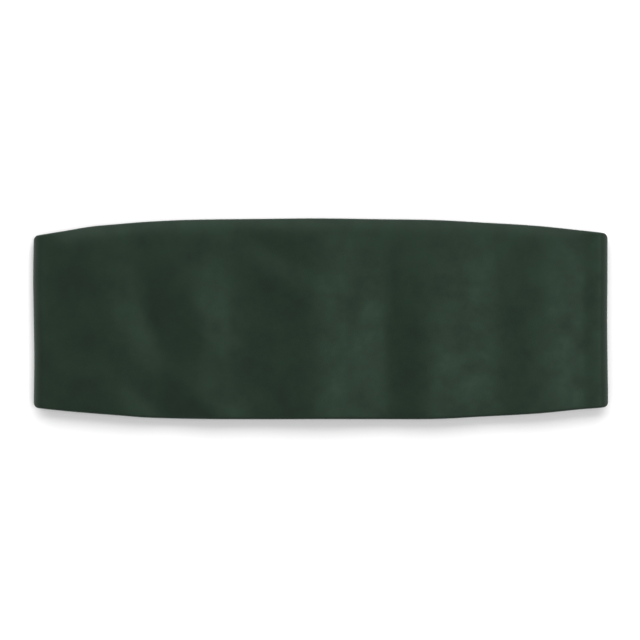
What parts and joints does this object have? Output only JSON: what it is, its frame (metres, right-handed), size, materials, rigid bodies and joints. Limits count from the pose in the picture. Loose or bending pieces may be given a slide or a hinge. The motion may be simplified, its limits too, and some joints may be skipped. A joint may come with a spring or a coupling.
{
  "type": "cummerbund",
  "caption": "Plain, unpleated waist sash laid flat with its front up: a shaped cloth band folded under at both ends, with two strap ends joined by a hook-and-slide clasp.",
  "frame": {"origin": "on the surface it lies on, under the middle of the front", "axes": "+X along the front towards its right fold, +Y up the wearer's body, +Z out of the front, up from the surface it lies on"},
  "size_m": [0.372, 0.13, 0.0143],
  "materials": {
    "band_cloth": "dark bottle green, short soft pile with a faint greyish sheen at its edges",
    "strap_ribbon": "blackish green woven ribbon, matt",
    "clasp_metal": "satin, dark nickel"
  },
  "bodies": {
    "root": {"band": "band_cloth", "left_strap": "strap_ribbon", "right_strap": "strap_ribbon", "clasp": "clasp_metal"}
  },
  "joints": []
}
